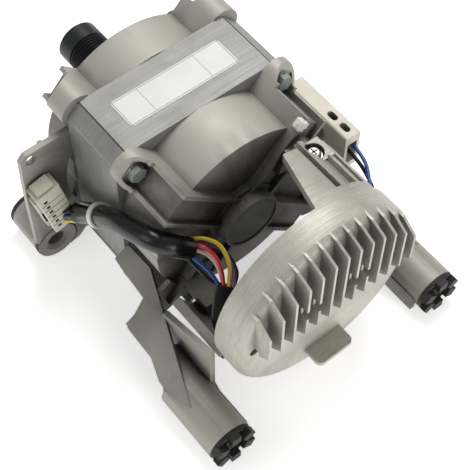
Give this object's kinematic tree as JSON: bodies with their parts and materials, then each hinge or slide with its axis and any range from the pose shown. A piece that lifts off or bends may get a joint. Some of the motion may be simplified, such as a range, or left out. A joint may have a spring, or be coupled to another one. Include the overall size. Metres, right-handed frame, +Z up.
{
  "type": "washing machine motor",
  "caption": "Washing machine motor with a square stator pack, die-cast shields, rubber-bushed mounting tubes, ribbed belt pulley and a finned controller drum at the rear.",
  "frame": {"origin": "bottom centre of the bounding box, under the motor between its mounting tubes", "axes": "+Z up with the label face on top, +Y along the shaft towards the pulley end, +X to the right seen from the controller drum"},
  "size_m": [0.2058, 0.2872, 0.1467],
  "materials": {
    "cast_aluminium": "die cast, matt",
    "machined_aluminium": "die cast, sanded rim",
    "lamination_steel": "stacked sheet edges",
    "zinc_steel": "zinc plated",
    "dark_steel": "phosphated",
    "bearing_steel": "ground",
    "black_plastic": "moulded",
    "pulley_black": "blackened",
    "rubber_black": "moulded",
    "copper_enamel": "enamelled copper",
    "magnet_grey": "ferrite",
    "cream_plastic": "moulded",
    "pale_plastic": "moulded",
    "nylon_white": "moulded",
    "label_film": "printed film, blank",
    "board_green": "solder resist",
    "component_black": "moulded",
    "sleeve_black": "tape wound",
    "wire_yellow": "insulation",
    "wire_red": "insulation",
    "wire_cream": "insulation",
    "wire_blue": "insulation",
    "wire_black": "insulation",
    "wire_purple": "insulation",
    "wire_brown": "insulation",
    "wire_orange": "insulation"
  },
  "bodies": {
    "frame": {"front_shield": "cast_aluminium", "rear_shield": "cast_aluminium", "stator_stack": "lamination_steel", "label_plate": "label_film", "stator_coils": "copper_enamel", "front_end_frame": "black_plastic", "rear_end_frame": "black_plastic", "rear_winding_cover": "black_plastic", "front_winding_cover": "black_plastic", "front_bearing_outer_ring": "bearing_steel", "rear_bearing_outer_ring": "bearing_steel", "wave_washer": "bearing_steel", "bearing_retaining_ring": "dark_steel", "sensor_board": "board_green", "through_bolts": "dark_steel", "bolt_washers": "zinc_steel", "rear_bushes": "rubber_black", "front_bushes": "rubber_black", "rear_bush_sleeves": "dark_steel", "front_bush_sleeves": "zinc_steel", "heat_sink_cap": "machined_aluminium", "controller_cover": "component_black", "controller_board": "board_green", "board_screws": "zinc_steel", "dc_link_capacitors": "component_black", "power_module": "component_black", "board_filter_choke": "copper_enamel", "cap_rear_screws": "zinc_steel", "arm_screw_upper": "zinc_steel", "arm_screw_washer": "zinc_steel", "arm_screw_lower": "zinc_steel", "left_connector": "pale_plastic", "right_connector": "cream_plastic", "harness_sleeve": "sleeve_black", "sleeve_tie": "nylon_white", "flat_sleeve": "sleeve_black", "bundle_tie": "nylon_white", "spoke_tie": "nylon_white", "lead_yellow": "wire_yellow", "lead_red": "wire_red", "lead_cream": "wire_cream", "lead_blue": "wire_blue", "lead_black": "wire_black", "lead_purple": "wire_purple", "lead_brown": "wire_brown", "lead_orange": "wire_orange"},
    "rotor": {"shaft": "bearing_steel", "rotor_core": "lamination_steel", "rotor_magnets": "magnet_grey", "drive_pulley": "pulley_black", "front_bearing_inner_ring": "bearing_steel", "rear_bearing_inner_ring": "bearing_steel", "sensor_magnet": "magnet_grey"},
    "front_cage": {"front_bearing_cage": "component_black", "front_bearing_balls": "bearing_steel"},
    "rear_cage": {"rear_bearing_cage": "component_black", "rear_bearing_balls": "bearing_steel"}
  },
  "joints": [
    {"name": "rotor_spin", "type": "hinge", "parent": "frame", "child": "rotor", "pos_m": [0, 0.0266, 0.0767], "axis": [0, 1, 0], "continuous": true},
    {"name": "front_cage_spin", "type": "hinge", "parent": "frame", "child": "front_cage", "pos_m": [0, 0.0911, 0.0767], "axis": [0, 1, 0], "continuous": true},
    {"name": "rear_cage_spin", "type": "hinge", "parent": "frame", "child": "rear_cage", "pos_m": [0, -0.0389, 0.0767], "axis": [0, 1, 0], "continuous": true}
  ],
  "couplings": [
    {"joint": "front_cage_spin", "follows": "rotor_spin", "ratio": 0.383},
    {"joint": "rear_cage_spin", "follows": "rotor_spin", "ratio": 0.384}
  ]
}
